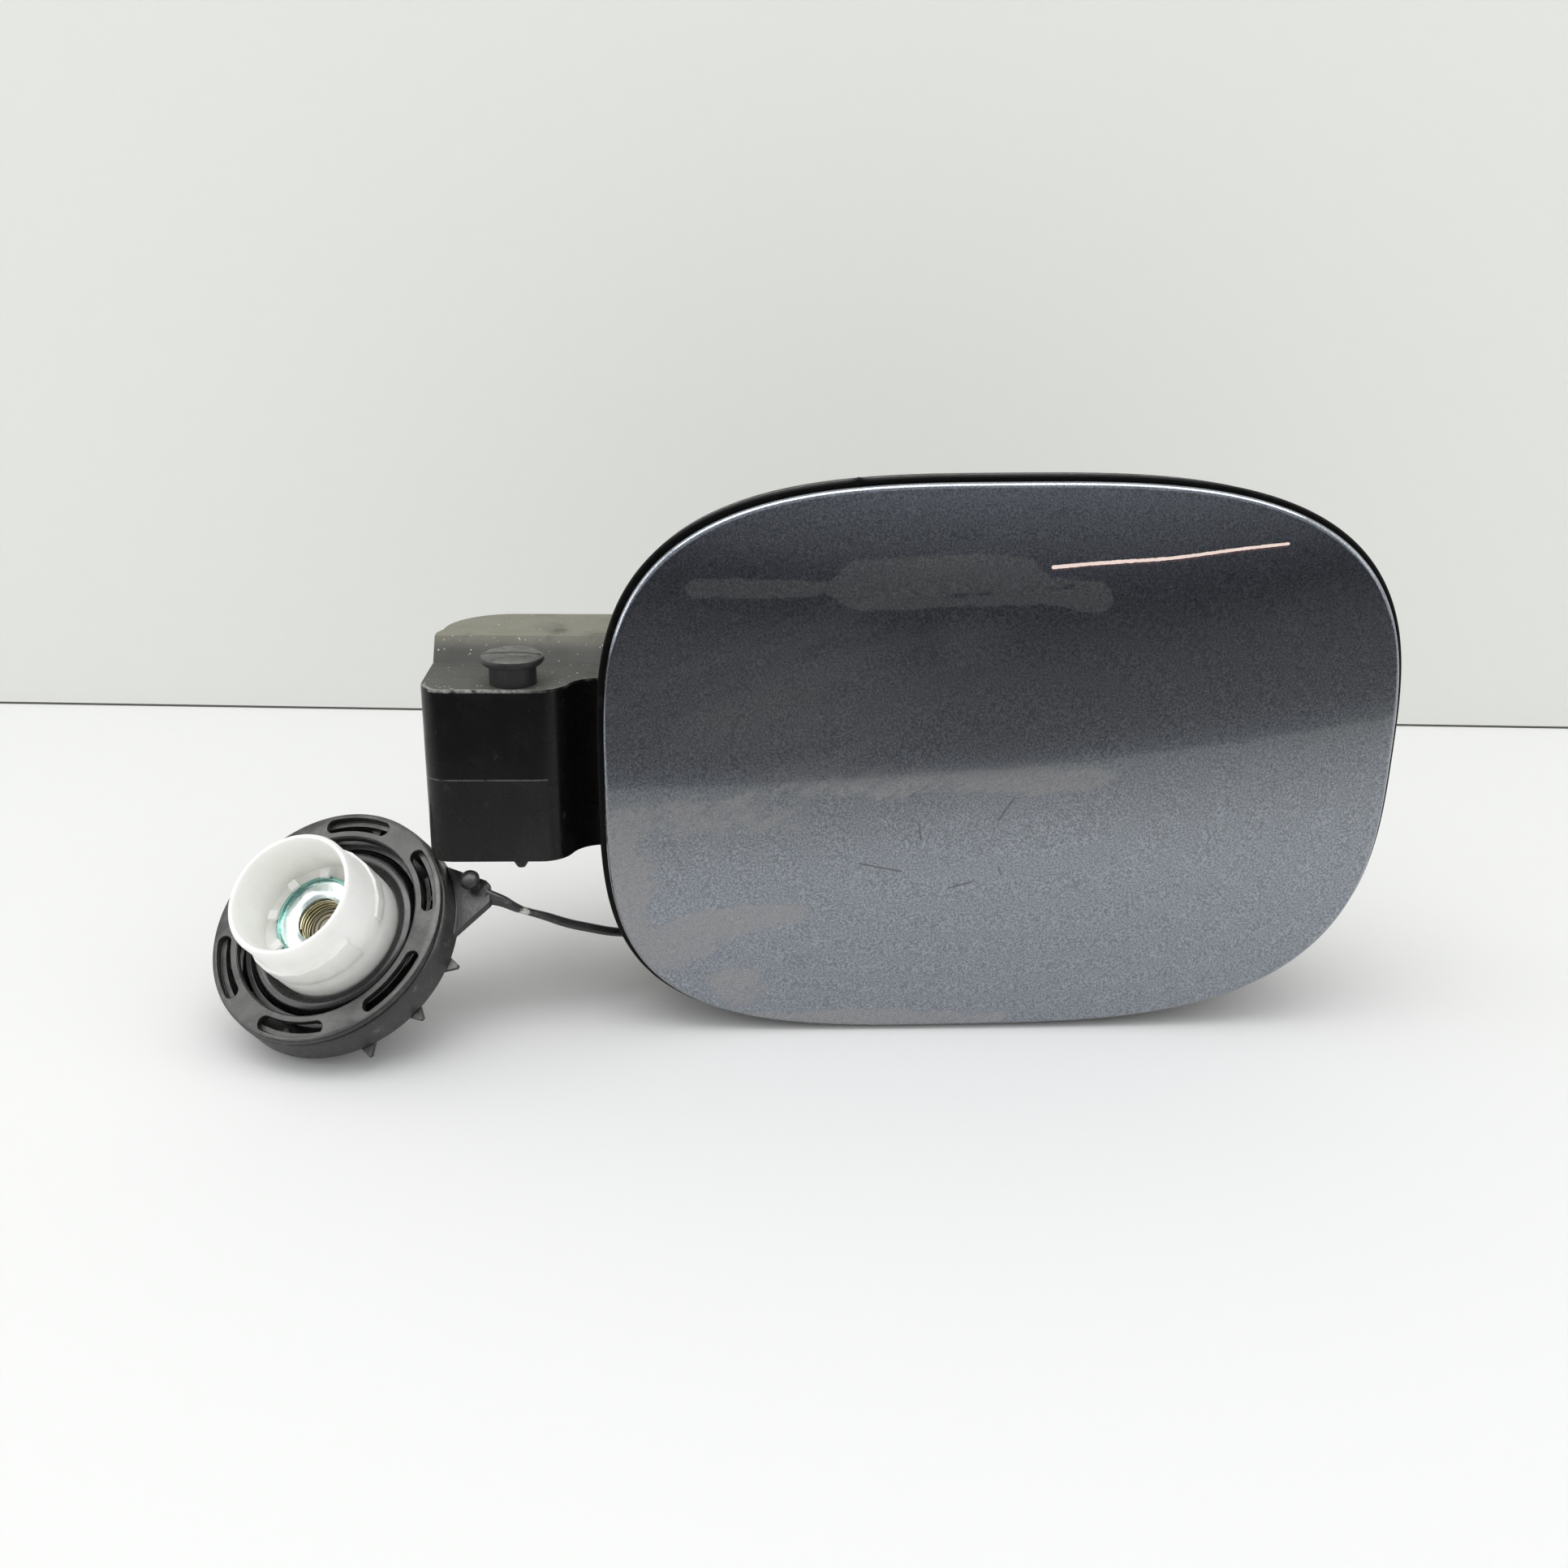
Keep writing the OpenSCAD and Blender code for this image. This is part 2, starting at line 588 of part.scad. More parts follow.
// Ratchet carrier: a shallow cup whose springy blades reach between the shell's teeth.
module ratchet_carrier() color([0.1, 0.1, 0.1]) on_cap() {
    ledge = gasket_h - gasket_t / 2;
    rotate_extrude() polygon([
        [vent_r, core_low], [cup_wall_out, core_low], [cup_wall_out, core_low + cup_wall_h],
        [cup_wall_in, core_low + cup_wall_h], [cup_wall_in, ledge], [foot_r + 0.8, ledge],
        [foot_r + 0.8, foot_h], [vent_r, foot_h]
    ]);
    root_r = (cup_wall_in + cup_wall_out) / 2;
    rise = blade_r - root_r - blade_t / 2;
    steps = 8;
    for (i = [0:blades - 1]) rotate(360 / blades * i + blade_start) translate([0, 0, core_low + 1])
        linear_extrude(cup_wall_h - 1.4) polygon(strip([
            for (k = [0:steps]) (root_r + rise * k / steps)
                * [cos(blade_span * k / steps), sin(blade_span * k / steps)]
        ], blade_t));
}

module gasket() color([0.02, 0.02, 0.02]) on_cap() translate([0, 0, gasket_h]) rotate_extrude()
    translate([gasket_r, 0]) circle(r = gasket_t / 2, $fn = 32);

// Bayonet ramp: a band on the plug whose upper edge climbs round it.
module ramp(start, span, low, rise, out) {
    n = 9;
    loft([for (i = [0:n]) let (a = start + span * i / n, top = low + 3 + rise * i / n)
        [for (p = [[plug_r - 1, low], [out, low], [out, top], [plug_r - 1, top]])
            [p.x * cos(a), p.x * sin(a), p.y]]]);
}

module bayonet_plug() color([0.93, 0.93, 0.9]) on_cap() {
    rotate_extrude() polygon([
        [vent_r, foot_h], [foot_r, foot_h], [foot_r, foot_h + 0.4], [plug_r + 1.4, foot_h + 0.8],
        [plug_r + 1.4, -1], [plug_r + 0.6, 2], [plug_r + 0.6, 9], [plug_r, 9.8], [plug_r, plug_h - 1],
        [plug_r - 0.6, plug_h], [cup_r + 0.4, plug_h], [cup_r, plug_h - 0.6], [cup_r, cup_floor],
        [well_r, cup_floor], [well_r, seat_h], [vent_r, seat_h]
    ]);
    for (a = [0, 180]) ramp(a + 10, 150, 3, 6, plug_r + 1.5);
    // hooked tabs that hold the spring plate down
    for (i = [0:tabs - 1]) rotate(360 / tabs * i + 12) {
        translate([steel_r + seat, -tab_w / 2, cup_floor - 0.2])
            cube([1.8, tab_w, tab_h + tab_t - cup_floor + 0.2]);
        translate([steel_r - 0.7, -tab_w / 2, tab_h]) cube([1.4, tab_w, tab_t]);
    }
}

// Pressed steel ring on the cup's floor: seat of the valve spring, with a raised rim.
module spring_plate() color([0.75, 0.8, 0.8]) on_cap() translate([0, 0, cup_floor]) rotate_extrude()
    polygon([
        [steel_hole, -0.9], [steel_hole + 0.7, -0.9], [steel_hole + 1.6, 0], [steel_r, 0],
        [steel_r, 2.2], [steel_r - 0.8, 2.2], [steel_r - 1, steel_t], [steel_hole + 1.4, steel_t],
        [steel_hole, 0.2]
    ]);

// Coil spring between the plate and the valve.
module valve_spring() color([0.6, 0.55, 0.3]) on_cap() {
    low = seat_h + seal_t + disc_t + seat + wire_r + 0.1;
    high = cup_floor - 0.9 - wire_r - 0.1;
    per = 14;
    n = per * coil_turns;
    sides = 6;
    loft([for (i = [0:n]) let (a = 360 * i / per, z = low + (high - low) * i / n)
        [for (j = [0:sides - 1]) let (b = 360 * j / sides, r = coil_r + wire_r * cos(b))
            [r * cos(a), r * sin(a), z + wire_r * sin(b)]]]);
}

module valve_disc() color([0.85, 0.85, 0.8]) on_cap()
    translate([0, 0, seat_h + seal_t + seat]) rotate_extrude() polygon([
        [0, 0], [disc_r, 0], [disc_r, disc_t], [6.2, disc_t], [5.6, disc_t + 2], [0, disc_t + 2]
    ]);

module valve_seal() color([0.08, 0.08, 0.08]) on_cap() translate([0, 0, seat_h + seat]) rotate_extrude()
    polygon([[0, 0.4], [vent_r, 0.4], [vent_r + 1, 0], [disc_r - 1, 0], [disc_r - 1, seal_t], [0, seal_t]]);

// Collar of the tether with its ear and the round stud that hangs the cap up.
module tether_collar() color([0.15, 0.15, 0.15]) on_cap() {
    difference() {
        union() {
            rotate_extrude() polygon([
                [collar_in, collar_low], [cap_r + 0.6, collar_low], [cap_r + 0.2, collar_top - 0.6],
                [cap_r - 0.3, collar_top], [collar_in, collar_top]
            ]);
            translate([0, 0, collar_low]) linear_extrude(ear_t) hull() {
                for (a = [-17, 22]) rotate(ear_angle + a) translate([cap_r - 1.5, 0])
                    circle(r = 1.2, $fn = 32);
                rotate(ear_angle + 3) translate([ear_r - 2.6, 0]) circle(r = 2.6, $fn = 32);
                rotate(ear_angle - 3) translate([ear_r - 1.8, 0]) circle(r = 1.8, $fn = 32);
            }
        }
        translate([0, 0, collar_low - 1]) cylinder(r = collar_in, h = 14);
    }
    rotate(stud_angle) translate([stud_at_r, 0, collar_low + ear_t - 0.1]) rotate_extrude() polygon([
        [0, 0], [1.7, 0], [1.7, 1.6], [2.7, 2.2], [3.1, 3.4], [2.6, 4.8], [1.2, 5.6], [0, 5.7]
    ]);
}

// Tube of even thickness along a smooth route.
function between(a, b, c, d, t) = 0.5 * (2 * b + (c - a) * t + (2 * a - 5 * b + 4 * c - d) * t * t
    + (3 * b - a - 3 * c + d) * t * t * t);
function smooth(p, k) = let (m = len(p) - 1) concat(
    [for (i = [0:m - 1]) for (s = [0:k - 1])
        between(p[max(i - 1, 0)], p[i], p[i + 1], p[min(i + 2, m)], s / k)],
    [p[m]]
);
function unit(v) = v / norm(v);
function heading(p, i) = unit(p[min(i + 1, len(p) - 1)] - p[max(i - 1, 0)]);
module tether_strap() color([0.2, 0.2, 0.2]) from_door_plane() {
    path = smooth(strap_route, 3);
    n = len(path);
    loft([for (i = [0:n - 1])
        let (d = heading(path, i), side = unit(cross(d, [0, 0, 1])), up = cross(side, d))
        [for (j = [0:strap_sides - 1]) let (b = 360 * (j + 0.5) / strap_sides)
            path[i] + strap_w / 2 * (cos(b) * side + sin(b) * up)]]);
}

module tether_eyelet() color([0.2, 0.2, 0.2]) from_door_plane() along_y(post_at, eyelet_y) difference() {
    cylinder(r = eyelet_r, h = eyelet_t);
    translate([0, 0, -1]) cylinder(r = post_r + seat, h = eyelet_t + 2);
}

bowl_housing();
lip_seal();
neck_seal();
lock_bush();
door_buffer(buffer_z);  // buffer_upper
door_buffer(-buffer_z);  // buffer_lower
hinge_pin();
hinge_leaf_spring();
door_skin();
door_arm();
cap_shell();
slotted_ring();
ratchet_carrier();
gasket();
bayonet_plug();
spring_plate();
valve_spring();
valve_disc();
valve_seal();
tether_collar();
tether_strap();
tether_eyelet();
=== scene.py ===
import math

import bmesh
import bpy
import numpy as np
from mathutils import Matrix


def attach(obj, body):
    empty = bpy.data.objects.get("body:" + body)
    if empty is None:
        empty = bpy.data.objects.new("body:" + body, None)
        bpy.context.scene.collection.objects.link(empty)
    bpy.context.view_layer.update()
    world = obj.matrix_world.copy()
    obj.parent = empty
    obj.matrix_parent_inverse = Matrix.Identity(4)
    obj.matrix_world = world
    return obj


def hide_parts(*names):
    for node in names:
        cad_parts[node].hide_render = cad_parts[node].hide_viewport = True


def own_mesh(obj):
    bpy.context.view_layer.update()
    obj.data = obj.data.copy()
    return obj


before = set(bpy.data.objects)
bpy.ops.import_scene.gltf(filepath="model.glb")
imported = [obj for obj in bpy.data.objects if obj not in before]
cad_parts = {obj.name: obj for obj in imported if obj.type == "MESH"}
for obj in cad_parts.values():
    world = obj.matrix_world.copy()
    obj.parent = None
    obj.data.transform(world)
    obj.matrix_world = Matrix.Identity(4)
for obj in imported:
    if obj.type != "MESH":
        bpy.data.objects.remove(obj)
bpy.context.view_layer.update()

# Camera: close wide-angle view from the front left, looking 20 degrees down at the door. Its
# place and angles come from a fit to the table's line, the door, the pocket and the cap.
eye = bpy.data.objects.new("camera", bpy.data.cameras.new("camera"))
bpy.context.scene.collection.objects.link(eye)
bpy.context.scene.camera = eye
eye.data.lens, eye.data.sensor_width = 36.11, 36.0
eye.data.clip_start = 0.01
stand, swing, down, lean = (-0.085, -0.494, 0.153), -3, 20, 0.9
place = (Matrix.Translation(stand) @ Matrix.Rotation(math.radians(swing), 4, "Z")
         @ Matrix.Rotation(math.radians(90 - down), 4, "X")
         @ Matrix.Rotation(math.radians(lean), 4, "Z"))
eye.location, eye.rotation_euler = place.to_translation(), place.to_euler()
bpy.context.scene.view_settings.view_transform = "Standard"


class Value:
    """A shader output. Arithmetic with numbers or other values adds Math nodes."""

    def __init__(self, surface, socket):
        self.surface, self.socket = surface, socket

    def math(self, operation, *values):
        return self.surface.node("ShaderNodeMath", 0, dict(enumerate(values)), operation=operation)

    def __add__(self, other): return self.math("ADD", self, other)
    def __radd__(self, other): return self.math("ADD", other, self)
    def __sub__(self, other): return self.math("SUBTRACT", self, other)
    def __rsub__(self, other): return self.math("SUBTRACT", other, self)
    def __mul__(self, other): return self.math("MULTIPLY", self, other)
    def __rmul__(self, other): return self.math("MULTIPLY", other, self)
    def __truediv__(self, other): return self.math("DIVIDE", self, other)
    def __pow__(self, other): return self.math("POWER", self, other)
    def __abs__(self): return self.math("ABSOLUTE", self)
    def fraction(self): return self.math("FRACT", self)


class Surface:
    """One material and its nodes, around its Principled BSDF."""

    def __init__(self, name):
        self.material = bpy.data.materials.new(name)
        self.material.use_nodes = True
        self.tree = self.material.node_tree
        self.shader = self.tree.nodes["Principled BSDF"]

    def node(self, kind, output, inputs=None, **settings):
        """Adds any node, sets or links its inputs, and gives back the named output."""
        made = self.tree.nodes.new(kind)
        for key, value in settings.items():
            setattr(made, key, value)
        for key, value in (inputs or {}).items():
            if isinstance(value, Value):
                self.tree.links.new(value.socket, made.inputs[key])
            else:
                made.inputs[key].default_value = value
        return Value(self, made.outputs[output])

    def place(self):
        """The point in metres, in the object's own axes."""
        return self.node("ShaderNodeTexCoord", "Object")

    def axes(self):
        """x, y and z of the point in millimetres."""
        cut = self.node("ShaderNodeSeparateXYZ", 0, {0: self.place()})
        return [Value(self, cut.socket.node.outputs[i]) * 1000 for i in range(3)]

    def up(self):
        """How far the surface faces up, from -1 to 1."""
        normal = self.node("ShaderNodeTexCoord", "Normal")
        return self.node("ShaderNodeSeparateXYZ", 2, {0: normal})

    def noise(self, per_mm, detail=3.0, roughness=0.55, sizes=(1, 1, 1), turn=0.0, seed=0.0):
        """Noise around 0.5, with per_mm cycles in a millimetre. Its grain is sizes times as long
        along the axes, after a turn about Y in degrees."""
        spot = self.node("ShaderNodeMapping", 0, {
            "Vector": self.place(), "Scale": sizes, "Rotation": (0, math.radians(turn), 0),
            "Location": (seed, seed * 0.7, -seed)}, vector_type="TEXTURE")
        return self.node("ShaderNodeTexNoise", 0, {"Vector": spot, "Scale": per_mm * 1000,
                                                   "Detail": detail, "Roughness": roughness})

    def step(self, x, low, high, out_low=0.0, out_high=1.0):
        """Smooth rise of x from low to high."""
        return self.node("ShaderNodeMapRange", 0, {0: x, 1: low, 2: high, 3: out_low, 4: out_high},
                         interpolation_type="SMOOTHSTEP")

    def mix(self, share, a, b):
        """Colour from a to b by share."""
        a, b = [c if isinstance(c, Value) else (*c, 1.0) for c in (a, b)]
        return self.node("ShaderNodeMix", 2, {0: share, 6: a, 7: b}, data_type="RGBA")

    def bump(self, height, depth_mm, strength=1.0):
        """Normal of a surface that rises by depth_mm where height goes from 0 to 1."""
        return self.node("ShaderNodeBump", 0, {"Height": height, "Distance": depth_mm / 1000,
                                               "Strength": strength})

    def finish(self, **inputs):
        """Sets the shader's inputs: a Value is linked, anything else is a constant."""
        for key, value in inputs.items():
            socket = self.shader.inputs[key.replace("_", " ")]
            if isinstance(value, Value):
                self.tree.links.new(value.socket, socket)
            else:
                socket.default_value = (*value, 1.0) if socket.type == "RGBA" else value
        return self.material


def through(name, rings, endless=False):
    """Mesh through rings[k, i] = (x, y, z) in metres: quads join ring k to k + 1 and i to i + 1.
    An endless stack joins its last ring to the first; any other is closed by a point at each end."""
    rings = np.asarray(rings, float)
    m, n = rings.shape[:2]
    k, i = np.meshgrid(np.arange(m if endless else m - 1), np.arange(n), indexing="ij")
    j, l = (i + 1) % n, (k + 1) % m
    quads = np.stack([k * n + i, k * n + j, l * n + j, l * n + i], -1).reshape(-1, 4)
    points, faces = rings.reshape(-1, 3), quads.tolist()
    if not endless:
        points = np.vstack([points, rings[0].mean(0), rings[-1].mean(0)])
        for centre, first, turn in ((m * n, 0, 1), (m * n + 1, (m - 1) * n, -1)):
            faces += [[centre, first + (a + 1) % n, first + a][::turn] for a in range(n)]
    mesh = bpy.data.meshes.new(name)
    mesh.from_pydata(points.tolist(), [], faces)
    body = bmesh.new()
    body.from_mesh(mesh)
    bmesh.ops.recalc_face_normals(body, faces=body.faces)
    if body.calc_volume(signed=True) < 0:
        bmesh.ops.reverse_faces(body, faces=body.faces)
    body.to_mesh(mesh)
    body.free()
    made = bpy.data.objects.new(name, mesh)
    bpy.context.scene.collection.objects.link(made)
    return made


def smooth(piece, angle=35):
    """Shades the piece smooth, with sharp edges above the angle in degrees."""
    piece.data.polygons.foreach_set("use_smooth", np.ones(len(piece.data.polygons), bool))
    piece.data.set_sharp_from_angle(angle=math.radians(angle))
    return piece


def copied(node, edge_mm):
    """Copy of a CAD node with its doubled points merged and its edges slightly rounded."""
    made = bpy.data.objects.new(node + "_look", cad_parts[node].data.copy())
    bpy.context.scene.collection.objects.link(made)
    made.data.materials.clear()
    body = bmesh.new()
    body.from_mesh(made.data)
    bmesh.ops.remove_doubles(body, verts=body.verts, dist=1e-6)
    bmesh.ops.dissolve_limit(body, angle_limit=math.radians(0.5), verts=body.verts, edges=body.edges)
    body.to_mesh(made.data)
    body.free()
    smooth(made)
    bevel = made.modifiers.new("edges", "BEVEL")
    bevel.width, bevel.segments = edge_mm / 1000, 2
    bevel.limit_method, bevel.angle_limit = "ANGLE", math.radians(40)
    bevel.harden_normals = True
    return made


def fitted(piece, node, body, material):
    """Puts the piece in the place of its CAD node, on its body and material."""
    piece.data.materials.clear()
    piece.data.materials.append(material)
    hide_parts(node)
    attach(piece, body)


# Tether strap: flexible dark plastic cord with a shallow groove, from the cap's ear along the
# outside of the bowl to the eye on its post. Scuffed pale where it is bent.
route_mm = [
    (-151, 4.5, -40), (-146, 4.5, -41.6), (-141.2, 7, -45.4), (-134, 10, -49.2),
    (-127.6, 13.5, -53.2), (-121, 16, -56), (-115.4, 19, -58.6), (-110.5, 24, -61.4),
    (-106, 30, -64), (-103, 39, -66), (-100, 50, -67), (-95, 62, -67), (-86, 72, -66),
    (-74, 77, -64.4), (-60, 79, -62.6), (-46, 78.8, -60.8), (-33, 77, -58.8),
    (-22, 75, -57.2), (-11, 73.5, -56)]
edge_plane = 66.0  # mm from the door's edge plane back to the frame's y = 0


def curve_through(points, steps):
    """Catmull-Rom curve: for knots a, b, c, d the piece from b to c is
    (2b + (c - a)t + (2a - 5b + 4c - d)t^2 + (3b - a - 3c + d)t^3) / 2."""
    p = np.array([points[0], *points, points[-1]], float)
    t = (np.arange(steps) / steps)[:, None]
    parts = [(2 * b + (c - a) * t + (2 * a - 5 * b + 4 * c - d) * t ** 2
              + (3 * b - a - 3 * c + d) * t ** 3) / 2
             for a, b, c, d in zip(p, p[1:], p[2:], p[3:])]
    return np.vstack([*parts, p[-1]])


strap_line = (curve_through(route_mm, 8) - (0, edge_plane, 0)) / 1000
heading = np.gradient(strap_line, axis=0)
heading /= np.linalg.norm(heading, axis=1)[:, None]
side = np.cross(heading, (0, 0, 1))
side /= np.linalg.norm(side, axis=1)[:, None]
rise = np.cross(side, heading)
turn = np.linspace(0, 2 * math.pi, 32, endpoint=False)
strap_r, groove_width = 0.0017, 0.28
ring = strap_r * (1 - sum(depth * np.exp(-((turn - at) / groove_width) ** 2)
                          for at, depth in ((3.6, 0.16), (0.5, 0.12))))
run = np.r_[0, np.linalg.norm(np.diff(strap_line, axis=0), axis=1).cumsum()] * 1000
flat, swell, waist = 0.82, 0.75, 0.22  # height as a share of the width: even part, ear, behind it
tall = flat + swell * np.exp(-run / 4.5) - waist * np.exp(-((run - 15) / 6) ** 2)
strap = through("tether_strap_look", strap_line[:, None]
                + (ring * np.cos(turn))[None, :, None] * side[:, None]
                + (ring * np.sin(turn))[None, :, None] * (rise * tall[:, None])[:, None])
skin = Surface("tether plastic")
x, y, z = skin.axes()
worn = skin.step(skin.noise(0.25, 5, 0.7), 0.54, 0.72)
bend_x, bend_z = -140, -46.4
bent = skin.step(((x - bend_x) ** 2 + (z - bend_z) ** 2) ** 0.5, 0.5, 3.6, 1.0, 0.0)
pale = skin.step(bent * 0.5 + skin.noise(0.9, 4, 0.7), 0.78, 0.95)
tone = skin.mix(worn * 0.4, (0.028, 0.028, 0.027), (0.2, 0.2, 0.185))
fitted(smooth(strap, 60), "tether_strap", "housing", skin.finish(
    Base_Color=skin.mix(pale * 0.8, tone, (0.62, 0.61, 0.57)),
    Roughness=skin.step(skin.noise(0.5), 0.3, 0.7, 0.32, 0.5),
    Normal=skin.bump(skin.noise(1.2, 4), 0.08)))
tether_material = skin.material

# Filler bowl with its hinge pocket: moulded black polyamide in one piece. Glossy where it was
# rubbed, with fine scuffs, and dust on every face that looks up.
skin = Surface("bowl plastic")
x, y, z = skin.axes()
up = skin.up()
grain = skin.noise(0.5, 6, 0.72)
scuffs = skin.step(skin.noise(0.3, 6, 0.75, sizes=(1, 1, 2.6), turn=8), 0.58, 0.76)
seam_z, top_z = -3.2, 24.0  # mm: faint line across the pocket's front, and that front's top edge
pocket = skin.step(x, -131.5, -130.5, 1.0, 0.0)
below = skin.step(z, seam_z - 0.3, seam_z + 0.2, 1.0, 0.0) * pocket
seam = skin.step(abs(z - seam_z), 0.12, 0.32, 1.0, 0.0) * pocket
cloud = skin.step(skin.noise(0.045, 3, 0.5, sizes=(1, 1, 1.5), seed=0.4), 0.4, 0.6)
rear = skin.step(z, 26.5, 30.8)
settled = skin.step(up, 0.2, 0.75) * skin.step(skin.noise(0.07, 5, 0.6), 0.15, 0.5)
specks = skin.step(skin.noise(0.9, 1, 0.5), 0.725, 0.75) * skin.step(up, 0.25, 0.5)

# The pocket's front wall along x: flat, then back over the S-bend, and round the outer corner.
flat_front, bend_back, corner_back = -62.0, 13.0, 6.0
corner = skin.step(x, -167.0, -160.0, 1.0, 0.0)
front = flat_front + bend_back * skin.step(x, -134.0, -116.0) + corner_back * corner * corner
# Light line along the top edge of the pocket's front, weaker to the right: partly wear, partly a
# painted highlight standing in for the edge's rounding.
rim_wear_and_highlight = (skin.step(abs(y - front), 0.3, 1.5, 1.0, 0.0) * skin.step(abs(z - top_z), 0.3, 1.1, 1.0, 0.0)
       * skin.step(x, -141.0, -132.0, 1.0, 0.25))
# The front is lighter, in clouds, below its faint line.
tone = skin.mix(below * (0.35 + cloud * 0.4), (0.0045, 0.0045, 0.0045), (0.018, 0.018, 0.0175))
tone = skin.mix(scuffs * 0.22, tone, (0.11, 0.11, 0.105))
tone = skin.mix(seam * skin.step(grain, 0.3, 0.55) * 0.5, tone, (0.16, 0.16, 0.15))
dust = skin.mix(rear, (0.225, 0.22, 0.195), (0.295, 0.288, 0.225))
tone = skin.mix(settled * (0.38 + rear * 0.36), tone, dust)
tone = skin.mix(specks * 0.75, tone, (0.62, 0.62, 0.58))
# Painted highlight and wear along the front's top edge.
tone = skin.mix(rim_wear_and_highlight * skin.step(grain, 0.34, 0.6) * 0.75, tone, (0.45, 0.45, 0.42))
fitted(copied("bowl_housing", 0.6), "bowl_housing", "housing", skin.finish(
    Base_Color=tone, Specular_IOR_Level=0.23,
    Roughness=skin.step(skin.noise(0.12, 4), 0.35, 0.65, 0.2, 0.34) + settled * 0.35,
    Normal=skin.bump(skin.noise(0.9, 4), 0.02)))


# Soft lip moulded round the bowl's front edge: glossy black elastomer with a thin outer fin and
# a small moulding nub on top.
def oval(t, a, b):
    """Outline point at angle t: r = ((|cos t| / a)^n + (|sin t| / b)^n)^(-1/n), where each
    quarter has its own power n, then leaned, turned and moved a little."""
    lean, turned, right, above = 0.009, math.radians(0.8), 0.8, 1.0
    n = np.where(np.cos(t) >= 0, np.where(np.sin(t) >= 0, 3.14, 2.96),
                 np.where(np.sin(t) >= 0, 3.21, 3.71))
    r = ((np.abs(np.cos(t)) / a) ** n + (np.abs(np.sin(t)) / b) ** n) ** (-1 / n)
    u, w = r * np.cos(t) + lean * r * np.sin(t), r * np.sin(t)
    return (u * math.cos(turned) - w * math.sin(turned) + right,
            u * math.sin(turned) + w * math.cos(turned) + above)


def oval_ring(a, b, y, steps=360, lift=0.0):
    """Ring of the outline with half sizes a and b at depth y behind the door's edge plane."""
    u, w = oval(np.linspace(0, 2 * math.pi, steps, endpoint=False), a, b)
    return np.stack([u, np.full(steps, y - edge_plane), w + lift], -1) / 1000


lip_w, lip_h, nub_x, nub_rise, nub_width = 115.9, 83.8, -0.043, 0.0008, 0.0011
profile = ((-2.2, 4.0), (-1.0, 3.85), (0.2, 3.8), (0.9, 3.85), (1.3, 4.0), (1.52, 4.25), (1.6, 4.6),
           (1.56, 5.0), (1.4, 5.4), (1.15, 7.6), (0.9, 10), (0.7, 12), (0.02, 12), (0.02, 4.98),
           (-2.2, 4.98))  # mm outside the bowl's outline, mm behind the edge plane
rings = []
for out, y in profile:
    ring = oval_ring(lip_w + out, lip_h + out * 0.6, y, 720, 0.1 * out)
    on_top = (ring[:, 2] > 0) * (out > 0.5) * (y < 7)
    ring[:, 2] += nub_rise * on_top * np.exp(-np.abs(ring[:, 0] - nub_x) / nub_width)
    rings.append(ring)
lip = smooth(through("lip_seal_look", rings, endless=True), 50)
skin = Surface("lip rubber")
fitted(lip, "lip_seal", "housing", skin.finish(
    Base_Color=skin.mix(skin.step(skin.noise(0.3, 5), 0.55, 0.8) * 0.2, (0.002, 0.002, 0.002),
                        (0.04, 0.04, 0.035)),
    Roughness=skin.step(skin.noise(0.4), 0.3, 0.7, 0.3, 0.45), Specular_IOR_Level=0.12,
    Normal=skin.bump(skin.noise(0.35, 3), 0.08)))

# Rubber seal of the filler neck, pressed into the bowl's collar. Matt black, with a little dust;
# the buffers and the valve's seal are of the same rubber.
skin = Surface("moulded rubber")
rubber = skin.finish(
    Base_Color=skin.mix(skin.step(skin.noise(0.2, 5), 0.5, 0.8) * 0.5, (0.012, 0.012, 0.012),
                        (0.07, 0.068, 0.06)),
    Roughness=skin.step(skin.noise(0.5), 0.3, 0.7, 0.5, 0.68),
    Normal=skin.bump(skin.noise(1.5, 3), 0.05))
fitted(copied("neck_seal", 0.25), "neck_seal", "housing", rubber)

# Guide bush of the lock pin: black acetal, pushed into its socket in the bowl's right wall. The
# pin itself belongs to the car.
skin = Surface("acetal bush")
fitted(copied("lock_bush", 0.2), "lock_bush", "housing", skin.finish(
    Base_Color=(0.02, 0.02, 0.021), Roughness=skin.step(skin.noise(0.6), 0.3, 0.7, 0.3, 0.45)))

# Two rubber buffers, pulled through the bowl's shelf, one above the other. The closed door bears
# on them.
for node in ("buffer_upper", "buffer_lower"):
    fitted(copied(node, 0.2), node, "housing", rubber)

# Hinge pin: moulded grey-black polyamide, driven in from above until its head meets the pocket.
# Dust lies on the head.
skin = Surface("pin plastic")
up = skin.up()
grey = skin.step(up, 0.1, 0.9) * skin.step(skin.noise(0.3, 5), 0.2, 0.6)
fitted(copied("hinge_pin", 0.3), "hinge_pin", "housing", skin.finish(
    Base_Color=skin.mix(grey * 0.3, (0.018, 0.018, 0.018), (0.28, 0.272, 0.24)),
    Specular_IOR_Level=0.35, Roughness=skin.step(skin.noise(0.4), 0.3, 0.7, 0.35, 0.5),
    Normal=skin.bump(skin.noise(1.0, 4), 0.05)))

# Hinge leaf spring: bent spring-steel strip, clipped in the pocket against the hinge cam. Rolled
# lengthwise, dulled in places.
skin = Surface("spring steel")
fitted(copied("hinge_leaf_spring", 0.08), "hinge_leaf_spring", "housing", skin.finish(
    Base_Color=skin.mix(skin.step(skin.noise(0.4, 5), 0.45, 0.7), (0.42, 0.41, 0.38),
                        (0.25, 0.22, 0.18)),
    Metallic=1.0, Roughness=skin.step(skin.noise(0.8, sizes=(1, 6, 1)), 0.3, 0.7, 0.22, 0.4)))


